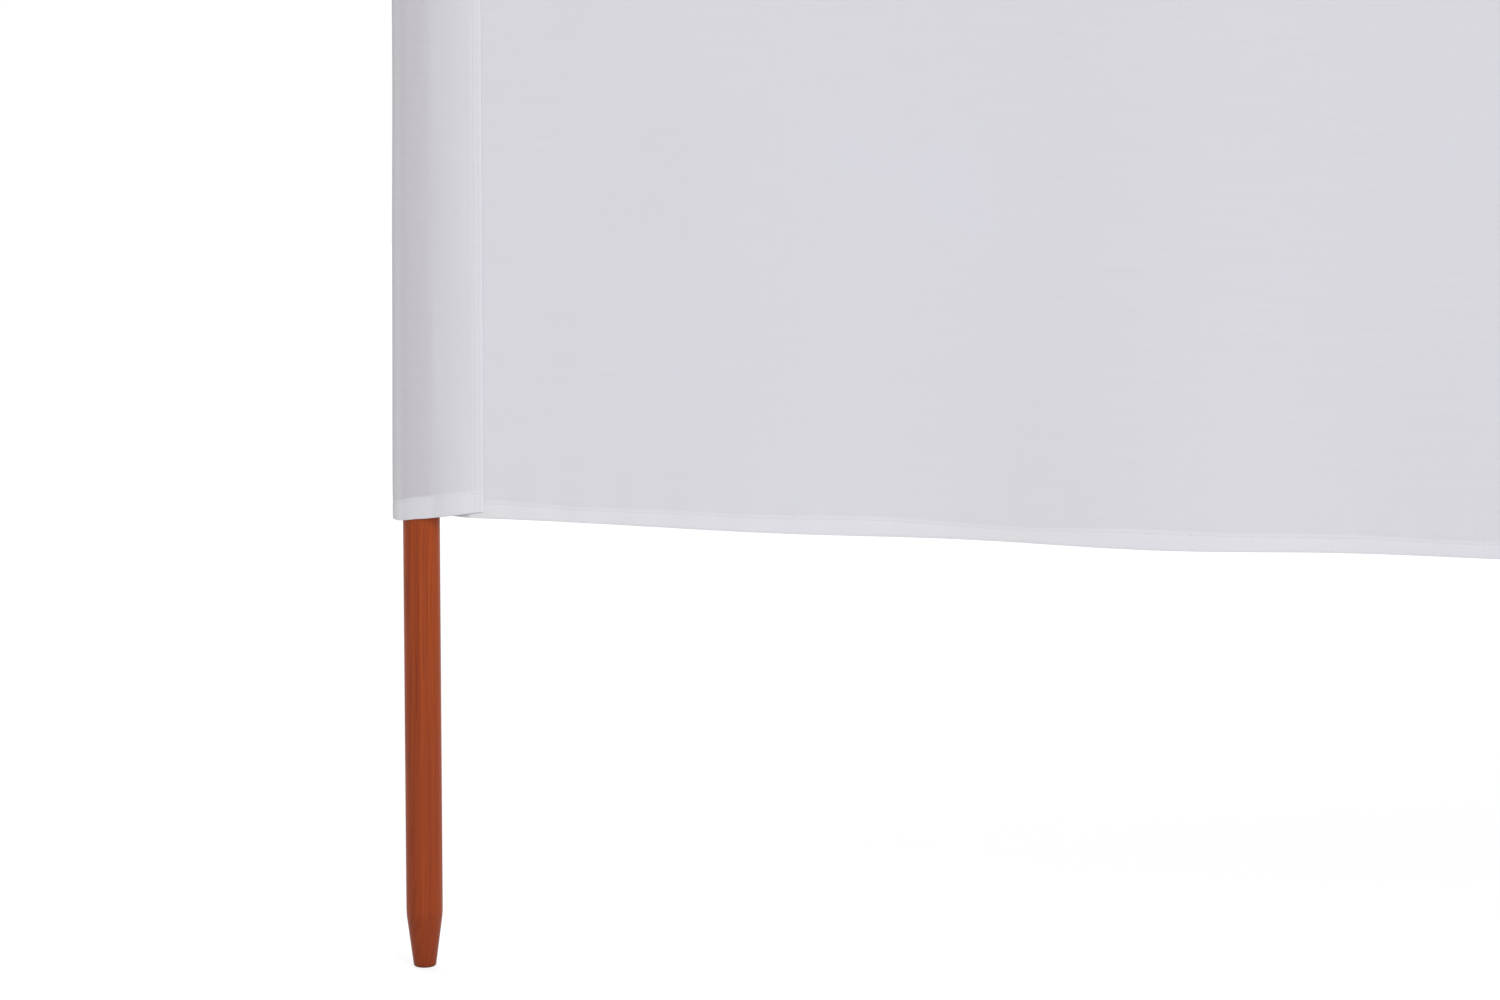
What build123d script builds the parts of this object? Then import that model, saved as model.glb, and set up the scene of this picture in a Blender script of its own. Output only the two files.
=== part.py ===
"""Beach windbreak: cloth bays hung by sewn sleeves on round wooden poles, set out in a zigzag.

The origin is the middle of the flat tip of the middle pole. +X runs along the windbreak,
-Y is the side that the sleeves are sewn on, +Z is up the poles. Lengths are in millimetres.
"""

import math
import os

from build123d import *

# Set-out of the bays
BAY_COUNT = 4
BAY_PITCH = 1200.0  # between the axes of two poles, along the cloth
ZIGZAG_ANGLE = 16.0  # degrees that each bay turns out of the line of the run

# Poles
POLE_DIAMETER = 28.0
BARE_SHAFT = 350.0  # pole below the cloth, tapered foot included
HEAD_STANDOUT = 50.0  # pole above the cloth
HEAD_CHAMFER = 4.0
FOOT_LENGTH = 42.0
FOOT_TIP_DIAMETER = 17.0
FOOT_TIP_ROUNDING = 2.0
FOOT_SHOULDER_ROUNDING = 60.0

# Cloth of the bays
CLOTH_HEIGHT = 800.0
CLOTH_THICKNESS = 0.8
HEM_HEIGHT = 12.5
HEM_LAYERS = 3
LOWER_SAG = 5.0  # lower edge in mid-bay, below its ends
UPPER_SAG = 8.0  # upper edge in mid-bay, below its ends
BELLY = 20.0  # cloth in mid-bay, out of the line between its seams

# Sleeves
SLEEVE_CLEARANCE = 0.3  # all round the pole
MOUTH_HEM_HEIGHT = 15.0
SEAM_WIDTH = 8.0
SEAM_LAYERS = 3
MIDDLE_SEAM_SLACK = 18.0  # from the side of a middle pole out to each of its seams
END_SEAM_SLACK = 27.0  # from the side of an end pole out to its seam
END_FOLD_SLACK = 7.0  # from the side of an end pole out to the loose fold

POLE_RADIUS = POLE_DIAMETER / 2
POLE_LENGTH = BARE_SHAFT + CLOTH_HEIGHT + HEAD_STANDOUT
CLOTH_TOP = BARE_SHAFT + CLOTH_HEIGHT
SEAM_THICKNESS = SEAM_LAYERS * CLOTH_THICKNESS
HEM_THICKNESS = HEM_LAYERS * CLOTH_THICKNESS
BORE_RADIUS = POLE_RADIUS + SLEEVE_CLEARANCE
CREASE_RADIUS = SEAM_THICKNESS / 2 - CLOTH_THICKNESS  # inside the pinched edge of a sleeve

POLE_COUNT = BAY_COUNT + 1
MIDDLE_POLE = BAY_COUNT // 2


def pole_place(index):
    """X and Y of a pole's axis, counted from the middle pole."""
    turn = math.radians(ZIGZAG_ANGLE)
    steps = index - MIDDLE_POLE
    depth = BAY_PITCH * math.sin(turn) if steps % 2 else 0
    return Vector(steps * BAY_PITCH * math.cos(turn), -depth, 0)


def bay_angle(bay):
    """Degrees from +X to the line of a bay."""
    line = pole_place(bay + 1) - pole_place(bay)
    return math.degrees(math.atan2(line.Y, line.X))


def seam_slack(index):
    """Cloth between the side of a pole and its seams."""
    at_end = index in (0, POLE_COUNT - 1)
    return END_SEAM_SLACK if at_end else MIDDLE_SEAM_SLACK


def seam_reach(index):
    """From a pole's axis out to where its sleeve is pinched together."""
    return POLE_RADIUS + seam_slack(index)


def make_pole():
    """Round pole turned from one profile: chamfered head, straight shaft, tapered foot, flat tip."""
    tip_radius = FOOT_TIP_DIAMETER / 2
    profile = Polyline(
        (0, 0),
        (tip_radius, 0),
        (POLE_RADIUS, FOOT_LENGTH),
        (POLE_RADIUS, POLE_LENGTH),
        (0, POLE_LENGTH),
        close=True,
    )
    section = make_face(profile)
    by_height = section.vertices().filter_by_position(Axis.X, tip_radius, POLE_RADIUS).sort_by(Axis.Y)
    tip_corner, shoulder, head_corner = by_height
    section = fillet(tip_corner, FOOT_TIP_ROUNDING)
    shoulder = section.vertices().sort_by_distance(shoulder)[0]
    section = fillet(shoulder, FOOT_SHOULDER_ROUNDING)
    head_corner = section.vertices().sort_by_distance(head_corner)[0]
    section = chamfer(head_corner, HEAD_CHAMFER)
    return revolve(Plane.XZ * section, Axis.Z)


def teardrop(angle, reach, grow):
    """Cloth round a pole, drawn out to a crease on one side; grow is the cloth laid outside its bore."""
    round_side = Circle(BORE_RADIUS + grow).edge()
    crease = (Pos(reach, 0) * Circle(CREASE_RADIUS + grow)).edge()
    return Rot(0, 0, angle) * make_hull([round_side, crease])


def seam_tab(angle, reach, grow):
    """Sewn layers between a sleeve's crease and the cloth of the bay."""
    thickness = SEAM_THICKNESS + 2 * (grow - CLOTH_THICKNESS)
    tab = Pos(reach + SEAM_WIDTH / 2, 0) * Rectangle(SEAM_WIDTH, thickness)
    return Rot(0, 0, angle) * tab


def sleeve_outline(seams, folds, grow):
    """Plan of a sleeve: a teardrop towards every seam and fold."""
    outline = Sketch()
    for angle, reach in seams + folds:
        outline += teardrop(angle, reach, grow)
    return outline


def make_sleeve(index):
    """Tube of cloth on one pole, with a seam towards each bay and a doubled hem at both mouths."""
    seams = []
    if index > 0:
        seams.append((bay_angle(index - 1) + 180, seam_reach(index)))
    if index < BAY_COUNT:
        seams.append((bay_angle(index), seam_reach(index)))
    folds = []
    if len(seams) == 1:
        folds.append((seams[0][0] + 180, POLE_RADIUS + END_FOLD_SLACK))

    bore = sleeve_outline(seams, folds, 0)
    walls = []
    for grow in (CLOTH_THICKNESS, 2 * CLOTH_THICKNESS):
        outside = sleeve_outline(seams, folds, grow)
        for angle, reach in seams:
            outside += seam_tab(angle, reach, grow)
        walls.append(outside - bore)
    single, doubled = walls

    tube = extrude(single, CLOTH_HEIGHT)
    hem = extrude(doubled, MOUTH_HEM_HEIGHT)
    tube += hem
    tube += Pos(0, 0, CLOTH_HEIGHT - MOUTH_HEM_HEIGHT) * hem
    place = pole_place(index)
    return Pos(place.X, place.Y, BARE_SHAFT) * tube


def bowed_band(start, end, thickness):
    """Plan of a bay's cloth between its seams, bellied to the sleeve side."""
    middle = (start + end) / 2
    half = thickness / 2
    inner = ThreePointArc((start, half), (middle, half - BELLY), (end, half))
    outer = ThreePointArc((start, -half), (middle, -half - BELLY), (end, -half))
    ends = [Line((start, half), (start, -half)), Line((end, half), (end, -half))]
    return make_face([inner, outer] + ends)


def sagging_band(start, end, lower, upper):
    """Elevation of a strip of cloth; each edge is its height at the seams and its sag in mid-bay."""
    middle = (start + end) / 2
    edges = []
    for height, sag in (lower, upper):
        edges.append(ThreePointArc((start, height), (middle, height - sag), (end, height)))
    for along in (start, end):
        edges.append(Line((along, lower[0]), (along, upper[0])))
    return Plane.XZ * make_face(edges)


def make_strip(bay, thickness, lower, upper):
    """Strip of a bay's cloth, bowed in plan and cut to its sagging edges."""
    start = seam_reach(bay) + SEAM_WIDTH
    end = BAY_PITCH - seam_reach(bay + 1) - SEAM_WIDTH
    bowed = extrude(bowed_band(start, end, thickness), CLOTH_TOP)
    cut = extrude(sagging_band(start, end, lower, upper), BELLY + thickness, both=True)
    place = pole_place(bay)
    return Pos(place.X, place.Y, 0) * Rot(0, 0, bay_angle(bay)) * (bowed & cut)


def make_bay(bay):
    """Panel of a bay and the hems along its lower and upper edges."""
    lower_edge = (BARE_SHAFT, LOWER_SAG)
    lower_stitch = (BARE_SHAFT + HEM_HEIGHT, LOWER_SAG)
    upper_stitch = (CLOTH_TOP - HEM_HEIGHT, UPPER_SAG)
    upper_edge = (CLOTH_TOP, UPPER_SAG)
    return {
        "panel": make_strip(bay, CLOTH_THICKNESS, lower_stitch, upper_stitch),
        "lower_hem": make_strip(bay, HEM_THICKNESS, lower_edge, lower_stitch),
        "upper_hem": make_strip(bay, HEM_THICKNESS, upper_stitch, upper_edge),
    }


def make_windbreak():
    """Every piece of the windbreak by its node name."""
    nodes = {}
    pole = make_pole()
    for index in range(POLE_COUNT):
        place = pole_place(index)
        nodes[f"pole_{index + 1}"] = Pos(place.X, place.Y, 0) * pole
        nodes[f"sleeve_{index + 1}"] = make_sleeve(index)
    for bay in range(BAY_COUNT):
        for name, strip in make_bay(bay).items():
            nodes[f"{name}_{bay + 1}"] = strip
    return nodes


os.makedirs("parts", exist_ok=True)
for node, shape in make_windbreak().items():
    export_step(shape, f"parts/{node}.step")
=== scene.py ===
"""Looks of a beach windbreak: hemmed cloth bays, sewn pole sleeves, stitching and stained wooden poles."""

import math

import bmesh
import bpy
import numpy as np
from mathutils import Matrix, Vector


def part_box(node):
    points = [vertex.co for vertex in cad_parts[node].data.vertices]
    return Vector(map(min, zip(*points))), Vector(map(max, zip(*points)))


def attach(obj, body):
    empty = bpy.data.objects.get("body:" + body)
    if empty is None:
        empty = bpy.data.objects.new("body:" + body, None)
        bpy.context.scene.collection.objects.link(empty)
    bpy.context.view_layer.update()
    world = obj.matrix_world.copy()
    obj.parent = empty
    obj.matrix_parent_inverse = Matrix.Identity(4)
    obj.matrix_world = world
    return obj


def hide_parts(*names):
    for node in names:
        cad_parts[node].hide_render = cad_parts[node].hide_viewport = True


bl_info = {
    "name": "Beach Windbreak",
    "version": (1, 0, 0),
    "blender": (4, 5, 0),
    "location": "3D View > Sidebar > Windbreak",
    "description": "Dresses the poles and cloth of a zigzag beach windbreak",
    "category": "Object",
}

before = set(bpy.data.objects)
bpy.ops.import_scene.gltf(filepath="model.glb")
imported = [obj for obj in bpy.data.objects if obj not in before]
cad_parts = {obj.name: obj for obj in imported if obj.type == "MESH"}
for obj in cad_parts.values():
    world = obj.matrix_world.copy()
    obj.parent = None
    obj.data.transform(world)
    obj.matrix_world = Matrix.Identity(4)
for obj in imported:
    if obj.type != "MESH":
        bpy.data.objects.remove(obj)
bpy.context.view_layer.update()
BODY = "root"
MM = 0.001


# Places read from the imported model


def mesh_points(mesh):
    """Points of a mesh, one on each row."""
    places = np.empty(len(mesh.vertices) * 3, np.float32)
    mesh.vertices.foreach_get("co", places)
    return places.reshape(-1, 3).astype(float)


def node_points(name):
    """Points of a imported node."""
    return mesh_points(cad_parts[name].data)


def axis_place(name):
    """X and Y of the middle of a node."""
    low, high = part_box(name)
    return np.array(((low.x + high.x) / 2, (low.y + high.y) / 2))


POLE_COUNT = sum(1 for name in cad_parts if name.startswith("pole_"))
BAY_COUNT = POLE_COUNT - 1
POLES = [axis_place(f"pole_{number}") for number in range(1, POLE_COUNT + 1)]
POLE_RADIUS = (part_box("pole_1")[1].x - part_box("pole_1")[0].x) / 2
POLE_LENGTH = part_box("pole_1")[1].z
CLOTH_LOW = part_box("sleeve_1")[0].z
CLOTH_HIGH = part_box("sleeve_1")[1].z
CLOTH_HEIGHT = CLOTH_HIGH - CLOTH_LOW
HEM_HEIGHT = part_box("lower_hem_1")[1].z - CLOTH_LOW
LOWER_SAG = CLOTH_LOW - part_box("lower_hem_1")[0].z
UPPER_SAG = CLOTH_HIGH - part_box("upper_hem_1")[0].z - HEM_HEIGHT


class Bay:
    """Line of one bay between its two poles, measured on its packed panel."""

    def __init__(self, index):
        self.index = index
        self.origin = POLES[index]
        run = POLES[index + 1] - self.origin
        self.pitch = np.linalg.norm(run)
        self.along = run / self.pitch
        self.front = np.array((self.along[1], -self.along[0]))
        flat = node_points(f"panel_{index + 1}")[:, :2] - self.origin
        self.start = (flat @ self.along).min()
        self.end = (flat @ self.along).max()
        self.belly = (flat @ self.front).max()

    def world(self, along, out, height):
        """Points from distance along the bay, distance out of its line to the front, and height."""
        along, out, height = np.broadcast_arrays(along, out, height)
        flat = self.origin + along[..., None] * self.along + out[..., None] * self.front
        return np.concatenate((flat, height[..., None]), axis=-1)


BAYS = [Bay(index) for index in range(BAY_COUNT)]
FULL_SHARE = 0.98  # of a pole's radius, from which its foot counts as fully thick


def foot_height():
    """Height at which a pole's tapered foot has come to the full thickness."""
    points = node_points("pole_1")
    reach = np.linalg.norm(points[:, :2] - POLES[0], axis=1)
    return points[reach > FULL_SHARE * POLE_RADIUS, 2].min()


def mouth_hem_height():
    """Height of the hem round a sleeve's lower mouth, where its wall gets thinner."""
    heights = node_points("sleeve_1")[:, 2]
    return heights[heights > CLOTH_LOW + MM].min() - CLOTH_LOW


FOOT_HEIGHT = foot_height()
MOUTH_HEM_HEIGHT = mouth_hem_height()


# Settings that a user would change


def length(name, text, value):
    """Property for a length in metres."""
    return bpy.props.FloatProperty(name=name, description=text, default=value, unit="LENGTH", precision=5)


def share(name, text, value):
    """Property for a plain factor."""
    return bpy.props.FloatProperty(name=name, description=text, default=value)


def angle(name, text, degrees):
    """Property for an angle."""
    value = math.radians(degrees)
    return bpy.props.FloatProperty(name=name, description=text, default=value, subtype="ANGLE")


def colour(name, text, value):
    """Property for a linear colour."""
    return bpy.props.FloatVectorProperty(name=name, description=text, default=value, size=3, subtype="COLOR")


class WindbreakCloth(bpy.types.PropertyGroup):
    """Sizes and colours of the cloth, and the painted shade of its sleeves' hollows."""

    thickness: length("Thickness", "Thickness of one layer of cloth", 0.45 * MM)
    thread_pitch: length("Thread pitch", "From one thread of the weave to the next", 0.8 * MM)
    fold_radius: length("Fold radius", "Radius of a folded edge", 0.4 * MM)
    seam_width: length("Seam width", "Width of the turned edge that closes a sleeve", 8 * MM)
    fold_slack: length("Fold slack", "From an end pole out to the loose fold", 5.5 * MM)
    single_colour: colour("Single layer", "Colour of one layer of cloth", (0.686, 0.68, 0.715))
    layered_colour: colour("Layered", "Colour of cloth several layers deep", (0.729, 0.7215, 0.757))
    backed_tint: colour("Backed tint", "Tint of the cloth where a pole lies behind it", (0.995, 0.96, 0.975))
    # Painted shade: darkens the cloth where the sleeve's hollow lies behind it.
    hollow_shade_tint: colour("Hollow tint", "Tint of the cloth over the hollow of a sleeve", (0.79, 0.795, 0.79))


class WindbreakStitching(bpy.types.PropertyGroup):
    """Sizes and colour of the sewing thread."""

    stitch: length("Stitch", "Length of one stitch", 3.0 * MM)
    gap: length("Gap", "Gap between two stitches", 0.7 * MM)
    thread: length("Thread", "Diameter of the thread", 0.45 * MM)
    margin: length("Margin", "From a folded edge to its stitching", 2.0 * MM)
    colour: colour("Thread colour", "Colour of the thread", (0.74, 0.735, 0.76))


class WindbreakPoles(bpy.types.PropertyGroup):
    """Stain of the poles, and the painted contact shade at their tips."""

    dark_stain: colour("Dark stain", "Stain in the dark lines of the grain", (0.19, 0.03, 0.0095))
    mid_stain: colour("Stain", "Stain over most of a pole", (0.26, 0.0455, 0.0125))
    light_stain: colour("Light stain", "Stain in the pale lines of the grain", (0.362, 0.066, 0.0135))
    # End-grain stain; at the tips it also paints contact shade.
    end_stain_and_shade: colour("End grain", "Stain that the end grain has soaked up", (0.08, 0.014, 0.005))
    ring_pitch: length("Ring pitch", "From one growth ring to the next", 2.6 * MM)


class WindbreakStage(bpy.types.PropertyGroup):
    """Camera and light."""

    camera_x: length("Camera X", "Camera along the run", -2.1256)
    camera_y: length("Camera Y", "Camera in front of the run", -2.2744)
    camera_z: length("Camera Z", "Height of the camera", 0.597)
    camera_pitch: angle("Camera pitch", "Camera below the horizontal", 5.91)
    camera_roll: angle("Camera roll", "Camera leaning to the right", -0.181)
    camera_yaw: angle("Camera yaw", "Camera turned to the left", -1.707)
    lens: share("Lens", "Focal length in millimetres on a 36 mm sensor", 72.0)
    ambient: share("Ambient", "Strength of the light from all round", 0.64)
    key: share("Key", "Strength of the soft light from the front right", 1.5)
    fill: share("Fill", "Strength of the soft light from behind", 0.9)


SETTINGS = {
    "windbreak_cloth": WindbreakCloth,
    "windbreak_stitching": WindbreakStitching,
    "windbreak_poles": WindbreakPoles,
    "windbreak_stage": WindbreakStage,
}


# Mesh helpers


def add_object(name, data):
    """New object in the scene."""
    made = bpy.data.objects.new(name, data)
    bpy.context.scene.collection.objects.link(made)
    return made


def finish_mesh(bm, name):
    """Mesh of what a bmesh holds."""
    mesh = bpy.data.meshes.new(name)
    bm.to_mesh(mesh)
    bm.free()
    return mesh


def grid_mesh(name, columns, rows, half_size):
    """Flat square grid about the origin, with a number of points each way."""
    bm = bmesh.new()
    bmesh.ops.create_grid(bm, x_segments=columns - 1, y_segments=rows - 1, size=half_size)
    return finish_mesh(bm, name)


def finish_piece(name, mesh, material):
    """Object of a finished mesh that rides on the windbreak."""
    piece = add_object(name, mesh)
    mesh.materials.append(material)
    mesh.shade_smooth()
    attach(piece, BODY)
    return piece


def cloth_grid(name, places, uv, masks):
    """Grid of cloth: places and uv hold a point for each row and column, masks a value."""
    rows, columns = places.shape[:2]
    half = 0.5  # the grid starts as a unit square
    mesh = grid_mesh(name, columns, rows, half)
    x, y, _ = mesh_points(mesh).T + half
    column = np.rint(x * (columns - 1)).astype(int)
    row = np.rint(y * (rows - 1)).astype(int)
    mesh.vertices.foreach_set("co", places[row, column].astype(np.float32).ravel())
    corners = np.empty(len(mesh.loops), np.int32)
    mesh.loops.foreach_get("vertex_index", corners)
    layer = mesh.uv_layers.new(name="cloth")
    layer.data.foreach_set("uv", uv[row, column].astype(np.float32)[corners].ravel())
    for mask, values in masks.items():
        attribute = mesh.attributes.new(mask, "FLOAT", "POINT")
        values = np.broadcast_to(values, (rows, columns))
        attribute.data.foreach_set("value", values[row, column].astype(np.float32))
    mesh.update()
    return mesh


def thicken(piece, thickness):
    """Gives a sheet its thickness, half to each side."""
    solidify = piece.modifiers.new("thickness", "SOLIDIFY")
    solidify.thickness = thickness
    solidify.offset = 0.0
    solidify.use_even_offset = False


def sheet_piece(name, sheet, across, masks, thickness):
    """Piece of cloth on a sheet's grid of places; its weave follows the distances across and up."""
    uv = np.stack(np.broadcast_arrays(across[None, :], sheet.rows_up.length[:, None]), axis=-1)
    mesh = cloth_grid(name, sheet.places, uv, masks)
    piece = finish_piece(name, mesh, bpy.data.materials["woven cloth"])
    thicken(piece, thickness)
    return piece


def smoothstep(low, high, value):
    """0 below low, 1 above high, smooth between."""
    t = np.clip((value - low) / (high - low), 0.0, 1.0)
    return t * t * (3 - 2 * t)


def blend_about(place, span, value):
    """0 before a place and 1 beyond it; the span says where the change starts and ends, from that place."""
    start, end = span
    return smoothstep(place + start, place + end, value)


def turns(distance, wave):
    """Angle that a wave has gone through after a distance."""
    return 2 * np.pi * distance / wave


def dense_ends(count, bias):
    """Numbers from 0 to 1, closer together towards both ends."""
    t = np.linspace(0.0, 1.0, count)
    return t - bias * np.sin(2 * np.pi * t) / (2 * np.pi)


def between(first, second, start, end, t):
    """Point at t on the line that passes the first point at start and the second at end."""
    return (end - t) / (end - start) * first + (t - start) / (end - start) * second


def smooth_line(points, samples):
    """Centripetal curve through the points, with as many samples on each span as given."""
    points = np.asarray(points, float)
    ends = np.vstack((2 * points[0] - points[1], points, 2 * points[-1] - points[-2]))
    line = []
    for a, b, c, d, count in zip(ends, ends[1:], ends[2:], ends[3:], samples):
        t0 = 0.0
        t1 = t0 + math.sqrt(np.linalg.norm(b - a))
        t2 = t1 + math.sqrt(np.linalg.norm(c - b))
        t3 = t2 + math.sqrt(np.linalg.norm(d - c))
        t = np.linspace(t1, t2, count, endpoint=False)[:, None]
        ab = between(a, b, t0, t1, t)
        bc = between(b, c, t1, t2, t)
        cd = between(c, d, t2, t3, t)
        abc = between(ab, bc, t0, t2, t)
        bcd = between(bc, cd, t1, t3, t)
        line.append(between(abc, bcd, t1, t2, t))
    line.append(points[-1:])
    return np.vstack(line)


def run_length(line):
    """Distance along a line of points, from its start to each point."""
    steps = np.linalg.norm(np.diff(line, axis=0), axis=1)
    return np.concatenate(((0.0,), np.cumsum(steps)))


# Shader helpers

# Places of a Mix node's colour sockets, whose names it also gives to other sockets
MIX_FACTOR = 0
MIX_FIRST = 6
MIX_SECOND = 7
MIX_RESULT = 2


def set_inputs(tree, made, inputs):
    """Sets a node's inputs, each to a value or to the socket that feeds it."""
    for socket, value in inputs.items():
        if isinstance(value, bpy.types.NodeSocket):
            tree.links.new(value, made.inputs[socket])
        else:
            made.inputs[socket].default_value = value


def node(tree, kind, inputs=None, **settings):
    """Adds a node with its inputs and settings."""
    made = tree.nodes.new(kind)
    for name, value in settings.items():
        setattr(made, name, value)
    set_inputs(tree, made, inputs or {})
    return made


def sums(tree, operation, first, second=0.0):
    """Output of a Math node."""
    return node(tree, "ShaderNodeMath", {0: first, 1: second}, operation=operation).outputs[0]


def opaque(value):
    """A socket as it is, or three numbers as an opaque colour."""
    return value if isinstance(value, bpy.types.NodeSocket) else (*value, 1.0)


def blend_colour(tree, factor, first, second, mode="MIX"):
    """Output of a colour Mix node."""
    feed = {MIX_FACTOR: factor, MIX_FIRST: opaque(first), MIX_SECOND: opaque(second)}
    return node(tree, "ShaderNodeMix", feed, data_type="RGBA", blend_type=mode).outputs[MIX_RESULT]


def tinted(tree, base, tint):
    """Output of a colour multiplied by a tint."""
    return blend_colour(tree, 1.0, base, tint, "MULTIPLY")


def map_range(tree, value, low, high, new_low, new_high):
    """Output of a clamped Map Range node."""
    numbers = {"From Min": low, "From Max": high, "To Min": new_low, "To Max": new_high}
    return node(tree, "ShaderNodeMapRange", {"Value": value, **numbers}).outputs["Result"]


def noise(tree, place, scale, detail, roughness=0.5):
    """Output of a noise texture."""
    feed = {"Vector": place, "Scale": scale, "Detail": detail, "Roughness": roughness}
    return node(tree, "ShaderNodeTexNoise", feed).outputs["Fac"]


def relief(tree, height, strength, depth):
    """Output of a Bump node."""
    feed = {"Strength": strength, "Distance": depth, "Height": height}
    return node(tree, "ShaderNodeBump", feed).outputs[0]


def new_group(name, inputs, outputs):
    """Empty shader node group with sockets of the given kinds; returns it and its two end nodes."""
    tree = bpy.data.node_groups.new(name, "ShaderNodeTree")
    for end, sockets in (("INPUT", inputs), ("OUTPUT", outputs)):
        for socket, kind in sockets.items():
            tree.interface.new_socket(socket, in_out=end, socket_type=f"NodeSocket{kind}")
    return tree, tree.nodes.new("NodeGroupInput"), tree.nodes.new("NodeGroupOutput")


def use_group(tree, group, inputs):
    """Outputs of a node group placed in a material."""
    return node(tree, "ShaderNodeGroup", inputs, node_tree=bpy.data.node_groups[group]).outputs


def new_material(name):
    """Empty material with a Principled shader; returns the material, its tree and the shader."""
    material = bpy.data.materials.new(name)
    material.use_nodes = True
    tree = material.node_tree
    return material, tree, tree.nodes["Principled BSDF"]


# Shared effects

BEAD_FULLNESS = 0.4  # power that keeps a bead of the weave full along its thread
BEAD_HEIGHT = 0.8  # at which a bead has its palest shade
GAP_SHADES = (-1.0, 0.55)  # of the gaps and the beads, in contrasts
TURN_SHADES = (-0.3, 0.3)  # of beads along the weft and along the warp, in contrasts


def weave_group():
    """Plain weave: each crossing is a bead, long over the warp and long over the weft by turns."""
    inputs = {"Place": "Vector", "Pitch": "Float", "Contrast": "Float"}
    outputs = {"Height": "Float", "Shade": "Float"}
    tree, start, end = new_group("plain weave", inputs, outputs)
    per_length = sums(tree, "DIVIDE", math.pi, start.outputs["Pitch"])
    place = node(tree, "ShaderNodeSeparateXYZ", {"Vector": start.outputs["Place"]}).outputs
    warp = sums(tree, "SINE", sums(tree, "MULTIPLY", place["X"], per_length))
    weft = sums(tree, "SINE", sums(tree, "MULTIPLY", place["Y"], per_length))
    on_top = sums(tree, "GREATER_THAN", sums(tree, "MULTIPLY", warp, weft), 0.0)
    warp = sums(tree, "ABSOLUTE", warp)
    weft = sums(tree, "ABSOLUTE", weft)
    along_warp = sums(tree, "MULTIPLY", warp, sums(tree, "POWER", weft, BEAD_FULLNESS))
    along_weft = sums(tree, "MULTIPLY", weft, sums(tree, "POWER", warp, BEAD_FULLNESS))
    bead = node(tree, "ShaderNodeMix", {"Factor": on_top, "A": along_weft, "B": along_warp}).outputs["Result"]
    gaps = map_range(tree, bead, 0.0, BEAD_HEIGHT, *GAP_SHADES)
    turned = map_range(tree, on_top, 0.0, 1.0, *TURN_SHADES)
    contrast = sums(tree, "MULTIPLY", sums(tree, "ADD", gaps, turned), start.outputs["Contrast"])
    set_inputs(tree, end, {"Height": bead, "Shade": sums(tree, "ADD", contrast, 1.0)})


PITH_DISTANCE = 41 * MM  # from a pole's axis to the heart of the tree it was cut from
RING_SLANT = 0.022  # lean of the growth rings along a pole
RING_WANDER = 3.5 * MM
RING_WANDER_SPAN = (0.25, 0.75)  # noise that moves the rings furthest in and out
RING_STRENGTH_SPAN = (0.35, 0.65)  # noise of the faintest and the strongest rings
FAINT_RING_SHARE = 0.25  # strength of the faintest rings, of the strongest
LATE_WOOD = ((0.35, 0.15), (0.8, 1.0), (0.92, 0.35))  # place in a growth ring, and darkness there
GRAIN_ROUGHNESS = 0.55

# Noises along the grain: their size across a pole and along it, and their levels of detail
RING_WANDER_NOISE = (18 * MM, 260 * MM, 2.0)
RING_STRENGTH_NOISE = (11 * MM, 190 * MM, 2.0)
FIBRE_NOISE = (1.1 * MM, 110 * MM, 5.0)
DRIFT_NOISE = (6.5 * MM, 330 * MM, 3.0)


def grain_group():
    """Straight grain of a turned pole: growth rings, fine fibre and slow drifts of the stain."""
    inputs = {"Place": "Vector", "Ring pitch": "Float"}
    outputs = {"Rings": "Float", "Fibre": "Float", "Drift": "Float"}
    tree, start, end = new_group("pole grain", inputs, outputs)

    def long_noise(across, along, detail):
        scale = (1 / across, 1 / across, 1 / along)
        stretch = node(tree, "ShaderNodeMapping", {"Vector": start.outputs["Place"], "Scale": scale})
        return noise(tree, stretch.outputs[0], 1.0, detail, GRAIN_ROUGHNESS)

    def square(value):
        return sums(tree, "POWER", value, 2.0)

    place = node(tree, "ShaderNodeSeparateXYZ", {"Vector": start.outputs["Place"]}).outputs
    wander = map_range(tree, long_noise(*RING_WANDER_NOISE), *RING_WANDER_SPAN, -RING_WANDER, RING_WANDER)
    slanted = sums(tree, "ADD", place["Y"], sums(tree, "MULTIPLY", place["Z"], RING_SLANT))
    deep = sums(tree, "ADD", slanted, sums(tree, "ADD", wander, PITH_DISTANCE))
    radius = sums(tree, "SQRT", sums(tree, "ADD", square(place["X"]), square(deep)))
    ring = sums(tree, "FRACT", sums(tree, "DIVIDE", radius, start.outputs["Ring pitch"]))
    late = node(tree, "ShaderNodeFloatCurve", {"Value": ring})
    points = late.mapping.curves[0].points
    points[0].location = (0.0, 0.0)
    points[1].location = (1.0, 0.0)
    for spot in LATE_WOOD:
        points.new(*spot)
    late.mapping.update()
    strength = long_noise(*RING_STRENGTH_NOISE)
    strength = map_range(tree, strength, *RING_STRENGTH_SPAN, FAINT_RING_SHARE, 1.0)
    rings = sums(tree, "MULTIPLY", late.outputs[0], strength)
    noises = {"Fibre": long_noise(*FIBRE_NOISE), "Drift": long_noise(*DRIFT_NOISE)}
    set_inputs(tree, end, {"Rings": rings, **noises})


# Cloth and thread

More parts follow.
